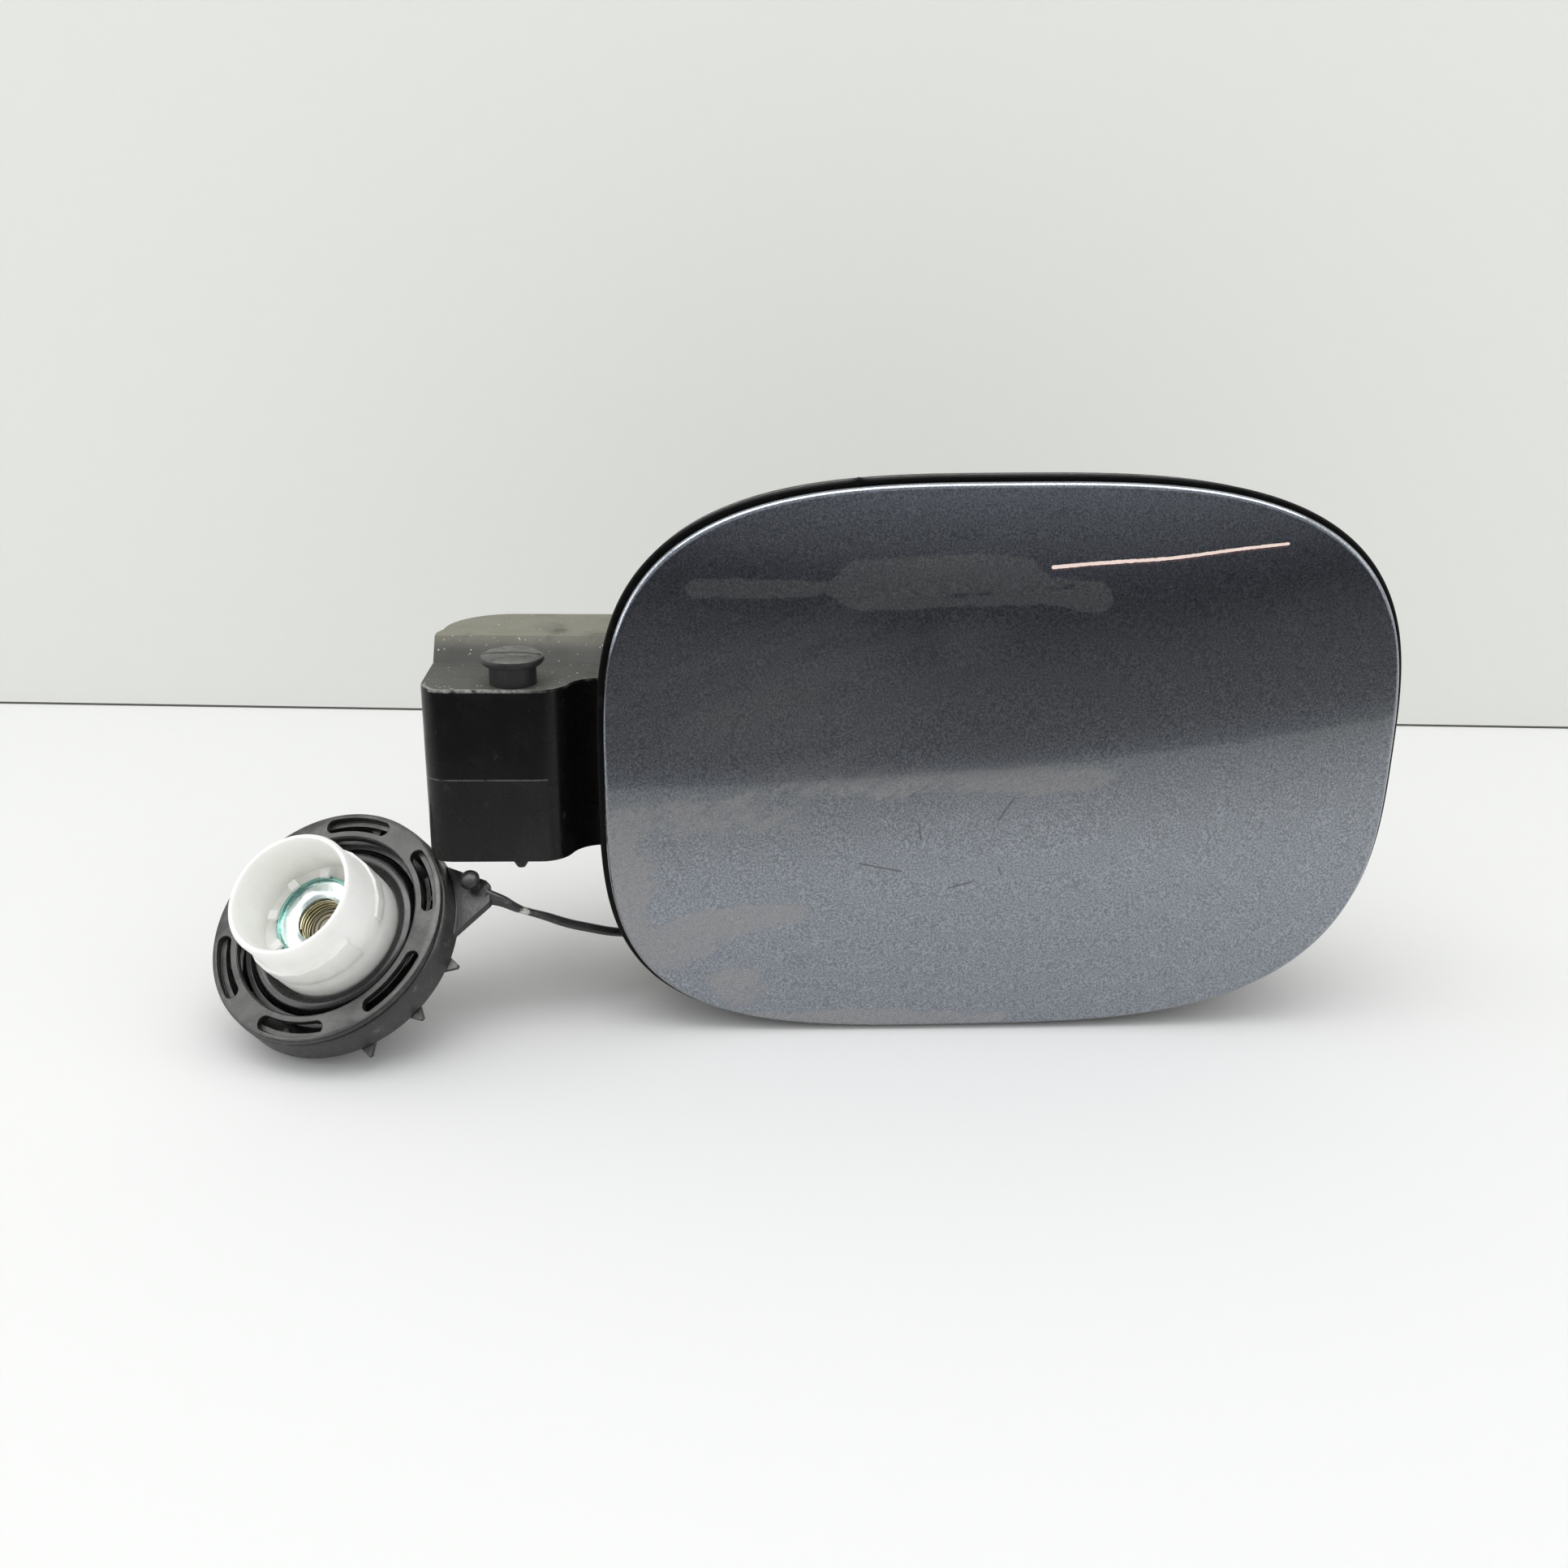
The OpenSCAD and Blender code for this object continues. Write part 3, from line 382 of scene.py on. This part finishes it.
# Door skin: deep-drawn steel panel, slightly domed, rolled over at the edge and turned back.
# Dark blue-grey metallic paint under clear coat, scratched, with dusty smears. Sizes in mm: half
# outline, radius of the rolled edge, rise of the dome, width of the turned-back edge, its depth.
half_w, half_h, roll, crown, fold, hem = 115.5, 83.4, 1.5, 4.0, 1.6, 3.0
rings = [oval_ring((half_w - roll) * f, (half_h - roll) * f, -crown * (1 - f * f))
         for f in np.r_[0.01, np.linspace(0.04, 1, 40)]]
rings += [oval_ring(half_w - roll * (1 - math.sin(a)), half_h - roll * (1 - math.sin(a)),
                    roll * (1 - math.cos(a))) for a in np.radians(np.arange(10, 91, 10))]
rings += [oval_ring(half_w, half_h, hem - 0.1), oval_ring(half_w - 0.1, half_h - 0.1, hem),
          oval_ring(half_w - fold, half_h - fold, hem),
          oval_ring(half_w - fold, half_h - fold, fold + 0.1)]
rings += [oval_ring((half_w - roll) * f, (half_h - roll) * f, fold - crown * (1 - f * f))
          for f in (0.98, 0.9, 0.8, 0.7, 0.6, 0.5, 0.4, 0.3, 0.2, 0.1, 0.02)]
door = through("door_skin_look", rings)
skin = Surface("door paint")
x, y, z = skin.axes()
flakes = skin.step(skin.noise(1.9, 2.0, 0.75), 0.34, 0.70)
speckle = skin.noise(1.3, 3.0, 0.7)
fray = skin.noise(0.5, 4.0, 0.7)
paint_tone = skin.mix(flakes, (0.105, 0.119, 0.143), (0.312, 0.337, 0.378))

# Long scratch down to the filler: a pale broken line with a dark red rim, thinner to the right.
along = skin.step(x, 10, 78)
bow = -0.9 * skin.step(x, 18, 52) * skin.step(x, 36, 70, 1.0, 0.0)
rag = (fray - 0.5) * 1.1 + (skin.noise(1.6, 3, 0.75) - 0.5) * 1.3


def stroke(x0, z0, x1, z1, width, soft, shift=0.0):
    """1 on the line from (x0, z0) to (x1, z1) in mm, falling to 0 over soft beyond half the width:
    the distance is taken to the nearest point, whose share of the length is held in 0..1."""
    dx, dz = x1 - x0, z1 - z0
    share = ((x - x0) * dx + (z - z0) * dz) / (dx * dx + dz * dz)
    share = skin.node("ShaderNodeClamp", 0, {0: share})
    ex, ez = x - (share * dx + x0), z - (share * dz + z0) - shift
    return skin.step((ex * ex + ez * ez) ** 0.5, width / 2, width / 2 + soft, 1.0, 0.0)


rim_width, core_width = 0.66, 0.34
wide = stroke(11.2, 61.4, 76.5, 68.0, rim_width, 0.8, bow - 0.2)
deep = stroke(11.2, 61.4, 77.1, 68.1, core_width, 0.62, bow)
red = skin.step(wide + rag * 0.7, 0.3, 0.6)
bare = skin.step(deep + rag * 0.75 - along * 0.24, 0.36, 0.5)
paint_tone = skin.mix(red * 0.85, paint_tone, (0.07, 0.022, 0.022))
paint_tone = skin.mix(bare, paint_tone, (0.90, 0.72, 0.65))

# Short dark nicks: both ends and the width in mm.
nicks = 0.0
for x0, z0, x1, z1, width in (
        (0.1, -13.0, 4.3, -5.9, 0.2), (-39.9, -26.8, -27.8, -29.3, 0.12),
        (-13.5, -34.8, -6.8, -32.8, 0.16), (-23.0, -14.3, -22.5, -18.9, 0.1),
        (1.0, -28.0, 1.9, -30.4, 0.16), (68.6, 10.2, 72.0, 10.5, 0.2)):
    nicks = stroke(x0, z0, x1, z1, width, 0.4) + nicks
nicks = skin.step(nicks + (fray - 0.5) * 0.8, 0.35, 0.7)
paint_tone = skin.mix(nicks * 0.85, paint_tone, (0.02, 0.018, 0.02))


def patch(x0, z0, rx, rz, lean=0.0):
    """1 in the middle of an ellipse with half sizes rx and rz, leaned to the right with height by
    lean, 0 outside."""
    u, w = (x - x0) - (z - z0) * lean, z - z0
    return skin.step(((u / rx) ** 2 + (w / rz) ** 2) ** 0.5, 0.3, 1.1, 1.0, 0.0)


# Wiped dust, thin and warm grey: strokes that rise to the right at the lower left, a band under
# the middle and along the bottom, and an olive cloud with long faint streaks near the top.
streaks = skin.noise(0.33, 6.0, 0.68, sizes=(7, 1, 1), turn=-30, seed=1.7)
blots = skin.noise(0.09, 6.0, 0.64, seed=3.1)
grit = skin.step(skin.noise(0.8, 5.0, 0.7, sizes=(2, 1, 1), turn=-30), 0.30, 0.62, 0.45, 1.0)
where = (patch(-112, -34, 16, 30) * 0.9 + patch(-74, -45, 26, 7, 1.6) * 0.95
         + patch(-98, -56, 26, 12, 0.9) * 0.8 + patch(-76, -68, 14, 12) * 0.7
         + patch(-82, -12, 42, 10) * 0.62 + patch(-30, -1, 74, 8) * 0.6
         + patch(14, 1, 30, 8) * 0.5 + patch(-35, -80, 66, 6) * 0.75)
wiped = skin.step(where * 0.85 + (streaks - 0.5) * 1.25 + (blots - 0.5) * 0.8, 0.28, 0.58) * grit
# Below this slanted line the door mirrors the white table. There the dust tint is painted lighter
# and the film duller: a painted reflection on top of the real wiped dust.
mirror_slope = 0.066
below_reflection_line = skin.step(z - x * mirror_slope, -1.0, 4.5, 1.0, 0.0)
cloud = skin.step(stroke(-42, 56.2, 1, 57.8, 8, 6) + stroke(-88, 54.8, -40, 55.2, 2, 4) * 0.7
                  + stroke(0, 56.5, 24, 53.0, 3, 5) - stroke(-18, 53.2, 17, 56.0, 0.3, 1.4) * 0.5
                  + (streaks - 0.5) * 0.6 + (blots - 0.5) * 0.8, 0.40, 0.56)
faint = skin.step(skin.noise(0.05, 5.0, 0.6, sizes=(7, 1, 1), turn=-24, seed=0.9)
                  + patch(-62, 30, 62, 34) * 0.22 + patch(-8, 40, 16, 12) * 0.2, 0.55, 0.82)
haze = (cloud * 0.8 + faint * 0.5) * (1 - below_reflection_line)
# Dust tint and film: real wiped dust, painted stronger below the reflection line as a painted
# reflection.
paint_tone = skin.mix(wiped * (0.35 + below_reflection_line * 0.45), paint_tone, (0.258, 0.25, 0.252))
dust_film_and_sheen = wiped * (0.05 + below_reflection_line * 0.36) + haze * 0.12
fitted(smooth(door, 60), "door_skin", "door", skin.finish(
    Base_Color=skin.mix(haze * 0.4, paint_tone, (0.235, 0.225, 0.19)),
    Metallic=(1 - bare) * (1 - red * 0.8) * (1 - nicks) * (0.97 - dust_film_and_sheen),
    Roughness=skin.step(speckle, 0.3, 0.7, 0.13, 0.20) + dust_film_and_sheen * 0.35,
    Coat_Weight=(1 - dust_film_and_sheen * 0.9) * (1 - bare), Coat_Roughness=0.04, Coat_IOR=1.75,
    Normal=skin.bump(skin.noise(0.035, 2.0, 0.5), 0.05, 0.5)))

# Inner carrier with the gooseneck arm: glass-filled black polyamide, hidden behind the skin. Matt,
# finished plainly, slightly dusty.
skin = Surface("arm plastic")
fitted(copied("door_arm", 0.25), "door_arm", "door", skin.finish(
    Base_Color=skin.mix(skin.step(skin.noise(0.1, 5), 0.5, 0.75) * 0.5, (0.02, 0.02, 0.02),
                        (0.1, 0.095, 0.08)),
    Roughness=skin.step(skin.noise(0.5), 0.3, 0.7, 0.42, 0.6),
    Normal=skin.bump(skin.noise(2.0, 3), 0.03)))

# Cap shell with its handle, snapped into the slotted ring: black polyamide with a fine grain,
# rubbed grey, with dust on the side that looks up.
skin = Surface("cap plastic")
up = skin.up()
rub = skin.step(skin.noise(0.22, 6, 0.72, sizes=(1.6, 1, 1), turn=20), 0.5, 0.72)
fine = skin.step(skin.noise(1.1, 5, 0.7), 0.55, 0.75)
tone = skin.mix(rub * 0.28, (0.017, 0.017, 0.0165), (0.17, 0.168, 0.155))
settled = skin.step(up, 0.45, 0.72) * skin.step(skin.noise(0.12, 5, 0.6), 0.3, 0.6)
tone = skin.mix(settled * 0.12, tone, (0.4, 0.395, 0.35))
cap_black = skin.finish(
    Base_Color=skin.mix(fine * 0.16, tone, (0.3, 0.3, 0.28)),
    Roughness=skin.step(skin.noise(0.5), 0.3, 0.7, 0.28, 0.44),
    Normal=skin.bump(skin.noise(1.5, 3), 0.03))
fitted(copied("cap_shell", 0.25), "cap_shell", "cap_grip", cap_black)

# Slotted ring: closes the shell's rim, with long slots over the ratchet. Same plastic as the
# shell, its edges rounder.
fitted(copied("slotted_ring", 0.35), "slotted_ring", "cap_grip", cap_black)

# Ratchet carrier with its springy blades: black acetal, turns inside the shell. Smoother and
# darker than the ring over it.
skin = Surface("ratchet acetal")
fitted(copied("ratchet_carrier", 0.15), "ratchet_carrier", "cap_core", skin.finish(
    Base_Color=skin.mix(skin.step(skin.noise(0.3, 5), 0.5, 0.75) * 0.4, (0.014, 0.014, 0.014),
                        (0.09, 0.088, 0.08)),
    Roughness=skin.step(skin.noise(0.6), 0.3, 0.7, 0.3, 0.46)))

# Gasket: round nitrile ring, stretched over the plug's foot. Circle of 6 mm section swept about
# the cap's axis.
axis = np.array((-0.298192, -0.603347, 0.739631))  # of the cap, up out of its cup
centre = np.array((-0.1981, -0.0645, -0.0472))  # where it meets the slotted ring's face
flat_x = np.cross((0, 0, 1), axis) / np.linalg.norm(np.cross((0, 0, 1), axis))
flat_y = np.cross(axis, flat_x)
gasket_r, section_r, gasket_at = 24.0, 3.0, -6.2
turn, tilt = np.radians(np.arange(0, 360, 3)), np.radians(np.arange(0, 360, 12))
around = np.cos(turn)[:, None, None] * flat_x + np.sin(turn)[:, None, None] * flat_y
gasket = through("gasket_look", centre + 0.001 * (
    around * (gasket_r + section_r * np.cos(tilt))[None, :, None]
    + (gasket_at + section_r * np.sin(tilt))[None, :, None] * axis), endless=True)
skin = Surface("gasket rubber")
fitted(smooth(gasket, 60), "gasket", "cap_core", skin.finish(
    Base_Color=skin.mix(skin.step(skin.noise(0.25, 5), 0.55, 0.8) * 0.4, (0.005, 0.005, 0.005),
                        (0.05, 0.05, 0.045)),
    Roughness=skin.step(skin.noise(0.3), 0.3, 0.7, 0.16, 0.3)))

# Bayonet plug: milky white acetal with helical ramps, open cup at the top. Light sinks into it,
# and its tone clouds over in places.
skin = Surface("milky acetal")
soil = skin.step(skin.noise(0.15, 5, 0.6), 0.5, 0.8)
cloudy = skin.step(skin.noise(0.09, 3, 0.5, sizes=(1, 1, 2)), 0.35, 0.65)
tone = skin.mix(cloudy * 0.5, (0.935, 0.925, 0.88), (0.855, 0.845, 0.795))
fitted(copied("bayonet_plug", 0.3), "bayonet_plug", "cap_core", skin.finish(
    Base_Color=skin.mix(soil * 0.22, tone, (0.62, 0.60, 0.5)),
    Roughness=skin.step(skin.noise(0.4), 0.3, 0.7, 0.3, 0.42), Subsurface_Weight=0.6,
    Subsurface_Radius=(0.006, 0.006, 0.0052), Subsurface_Scale=1.0,
    Normal=skin.bump(skin.noise(0.5, 3), 0.05)))


# Pressed steel ring on the cup's floor: zinc-plated, bright inside and blue-green at its rim. The
# change of colour runs round the cap's axis with a ragged edge.
def off_axis(surface):
    """Distance in mm of the point p from the cap's axis a: (|p|^2 - (p . a)^2)^(1/2)."""
    x, y, z = [value - float(at) * 1000 for value, at in zip(surface.axes(), centre)]
    height = x * float(axis[0]) + y * float(axis[1]) + z * float(axis[2])
    return (x * x + y * y + z * z - height * height) ** 0.5


skin = Surface("zinc plate")
teal = skin.step(off_axis(skin) + (skin.noise(0.6, 4) - 0.5) * 1.2, 11.3, 12.0)
tone = skin.mix(skin.step(skin.noise(0.3, 4), 0.4, 0.7), (0.58, 0.64, 0.62), (0.44, 0.53, 0.51))
fitted(copied("spring_plate", 0.12), "spring_plate", "cap_core", skin.finish(
    Base_Color=skin.mix(teal * 0.8, tone, (0.13, 0.34, 0.30)),
    Metallic=1.0, Roughness=skin.step(skin.noise(0.6), 0.3, 0.7, 0.16, 0.3)))

# Valve spring: coil of yellow-passivated wire between the steel ring and the valve. A circle of
# 0.86 mm wire swept along the helix at radius 6.85 mm, with closed turns at both ends.
winds, wire_r, coil_r, low_end, high_end, closed_rise = 4.6, 0.43, 6.85, -3.77, 1.57, 0.9
lap = np.linspace(0, winds, 220)
outward = np.cos(lap * 2 * math.pi)[:, None] * flat_x + np.sin(lap * 2 * math.pi)[:, None] * flat_y
climb = np.interp(lap, (0, 1, winds - 1, winds),
                  (low_end, low_end + closed_rise, high_end - closed_rise, high_end))
spring = centre + 0.001 * (outward * coil_r + climb[:, None] * axis)
section = np.radians(np.arange(0, 360, 30))
rings = (spring[:, None] + 0.001 * wire_r * (np.cos(section)[None, :, None] * outward[:, None]
                                            + np.sin(section)[None, :, None] * axis))
coil = smooth(through("valve_spring_look", rings), 60)
skin = Surface("yellow wire")
fitted(coil, "valve_spring", "cap_core", skin.finish(
    Base_Color=skin.mix(skin.step(skin.noise(0.5, 4), 0.4, 0.7), (0.60, 0.55, 0.36),
                        (0.38, 0.33, 0.19)),
    Metallic=1.0, Roughness=0.3))
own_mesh(coil)

# Valve disc with its rubber seal, held on its seat by the coil: turned rings 1.55 mm apart,
# each a dark line on the light tone.
skin = Surface("valve acetal")
ring_step = 1.55
lines = skin.step(abs((off_axis(skin) / ring_step).fraction() - 0.5), 0.1, 0.42)
fitted(copied("valve_disc", 0.15), "valve_disc", "valve", skin.finish(
    Base_Color=skin.mix(lines, (0.46, 0.41, 0.28), (0.07, 0.052, 0.03)), Roughness=0.4))
fitted(copied("valve_seal", 0.1), "valve_seal", "valve", rubber)

# Tether collar: runs loose under the slotted ring, with the ear and its round hanging stud. Same
# plastic as the strap.
fitted(copied("tether_collar", 0.3), "tether_collar", "housing", tether_material)

# Eye of the tether, pushed on the post at the bowl's back, where it can't be seen. Same plastic
# as the strap.
fitted(copied("tether_eyelet", 0.3), "tether_eyelet", "housing", tether_material)


# Stage: white table, pale wall with a dark strip at its foot as painted shade of the gap there, and
# soft daylight. Wall and gap are clear from behind, so that views from there see the part.
def board(name, corners, colour, strength=0.0):
    """Flat matt panel through four corners, or a lit panel of the given strength."""
    mesh = bpy.data.meshes.new(name)
    mesh.from_pydata(corners, [], [(0, 1, 2, 3)])
    made = bpy.data.objects.new(name, mesh)
    bpy.context.scene.collection.objects.link(made)
    look = Surface(name)
    made.data.materials.append(look.finish(Base_Color=colour, Roughness=0.9, Specular_IOR_Level=0.0,
                                           Emission_Color=(1, 1, 1), Emission_Strength=strength))
    return made, look


def only_reflected(panel):
    """Lets nothing but reflections see the panel."""
    panel.visible_camera = panel.visible_diffuse = panel.visible_shadow = False
    panel.visible_transmission = panel.visible_volume_scatter = False


low, top, half = -0.0839, 2.5, 3  # metres: table, upper end of the wall, half of the table's width
wall_left, wall_right, gap_depth, gap_height = 0.415, 0.094, 0.002, 0.0011
table_white = (0.925, 0.925, 0.915)
board("table", [(-half, -half, low), (half, -half, low), (half, half, low), (-half, half, low)],
      table_white)
_, wall_look = board("wall", [(-half, wall_left, low), (half, wall_right, low),
                              (half, wall_right, top), (-half, wall_left, top)], (0.80, 0.805, 0.77))
gap_left, gap_right = wall_left - gap_depth, wall_right - gap_depth
# Gap: a thin dark strip before the wall's foot, painted shade of the joint between wall and table.
_, gap_look = board("gap", [(-half, gap_left, low), (half, gap_right, low),
                            (half, gap_right, low + gap_height),
                            (-half, gap_left, low + gap_height)], (0.12, 0.12, 0.11))
for surface in (wall_look, gap_look):
    back = surface.node("ShaderNodeNewGeometry", "Backfacing")
    clear = surface.node("ShaderNodeBsdfTransparent", 0)
    see = surface.node("ShaderNodeMixShader", 0,
                       {0: back, 1: Value(surface, surface.shader.outputs[0]), 2: clear})
    surface.tree.links.new(see.socket, surface.tree.nodes["Material Output"].inputs[0])

# What the paint mirrors: the table, with painted shade greying it towards its front edge, and the
# dark room before it, with painted shade on its floor and low on its wall.
mirror_z = low + 0.001
mirror, look = board("mirrored_table", [
    (-half, -0.12, mirror_z), (-half, -half, mirror_z), (half, -half, mirror_z),
    (half, -0.12, mirror_z)], (0.5, 0.5, 0.5))
x, y, z = look.axes()
edge_slope, edge_at = 0.1917, 305.0  # the table's front edge, in mm before the frame's origin
before = y + x * edge_slope + edge_at
# Painted shade: the mirrored table is greyer near its front edge, and the room's floor beyond it is
# darker with distance.
near = look.mix(look.step(before, -5.0, 150.0), (0.58, 0.575, 0.56), table_white)
deep = look.mix(look.step(before, -2700.0, -800.0), (0.165, 0.161, 0.168), (0.052, 0.05, 0.054))
far = look.mix(look.step(before, -900.0, -20.0), deep, (0.175, 0.168, 0.168))
look.finish(Base_Color=look.mix(look.step(before, -3.0, 3.0), far, near))
only_reflected(mirror)
room, look = board("dark_room", [(-half, -half, low), (-half, -half, top),
                                 (half, -half, top), (half, -half, low)], (0.2, 0.2, 0.2))
x, y, z = look.axes()
# Painted shade: the room's wall is darker towards the floor.
look.finish(Base_Color=look.mix(look.step(z, -80.0, 620.0), (0.185, 0.182, 0.188),
                                (0.64, 0.65, 0.69)))
only_reflected(room)
window_half = 1.6
for name, corners, strength in (
        ("window_above", [(-window_half, -1.1, 1.5), (-window_half, 0.05, 1.5),
                          (window_half, 0.05, 1.5), (window_half, -1.1, 1.5)], 5.0),
        ("window_left", [(-window_half, -0.9, 0.1), (-window_half, 0.1, 0.1),
                         (-window_half, 0.1, 1.4), (-window_half, -0.9, 1.4)], 3.0),
        ("window_right", [(window_half, -0.9, 0.4), (window_half, -0.9, 1.4),
                          (window_half, 0.0, 1.4), (window_half, 0.0, 0.4)], 2.0)):
    only_reflected(board(name, corners, (0.0, 0.0, 0.0), strength)[0])

world = bpy.data.worlds.new("daylight")
bpy.context.scene.world = world
world.use_nodes = True
sky = world.node_tree.nodes["Background"]
sky.inputs["Color"].default_value = (0.975, 0.985, 1.0, 1.0)
sky.inputs["Strength"].default_value = 0.97
lamp = bpy.data.objects.new("ceiling", bpy.data.lights.new("ceiling", "AREA"))
bpy.context.scene.collection.objects.link(lamp)
lamp.data.shape, lamp.data.size, lamp.data.size_y, lamp.data.energy = "RECTANGLE", 1.6, 1.0, 6.5
lamp.location = (-0.2, -0.5, 1.52)
lamp.rotation_euler = (math.radians(-18), 0, 0)
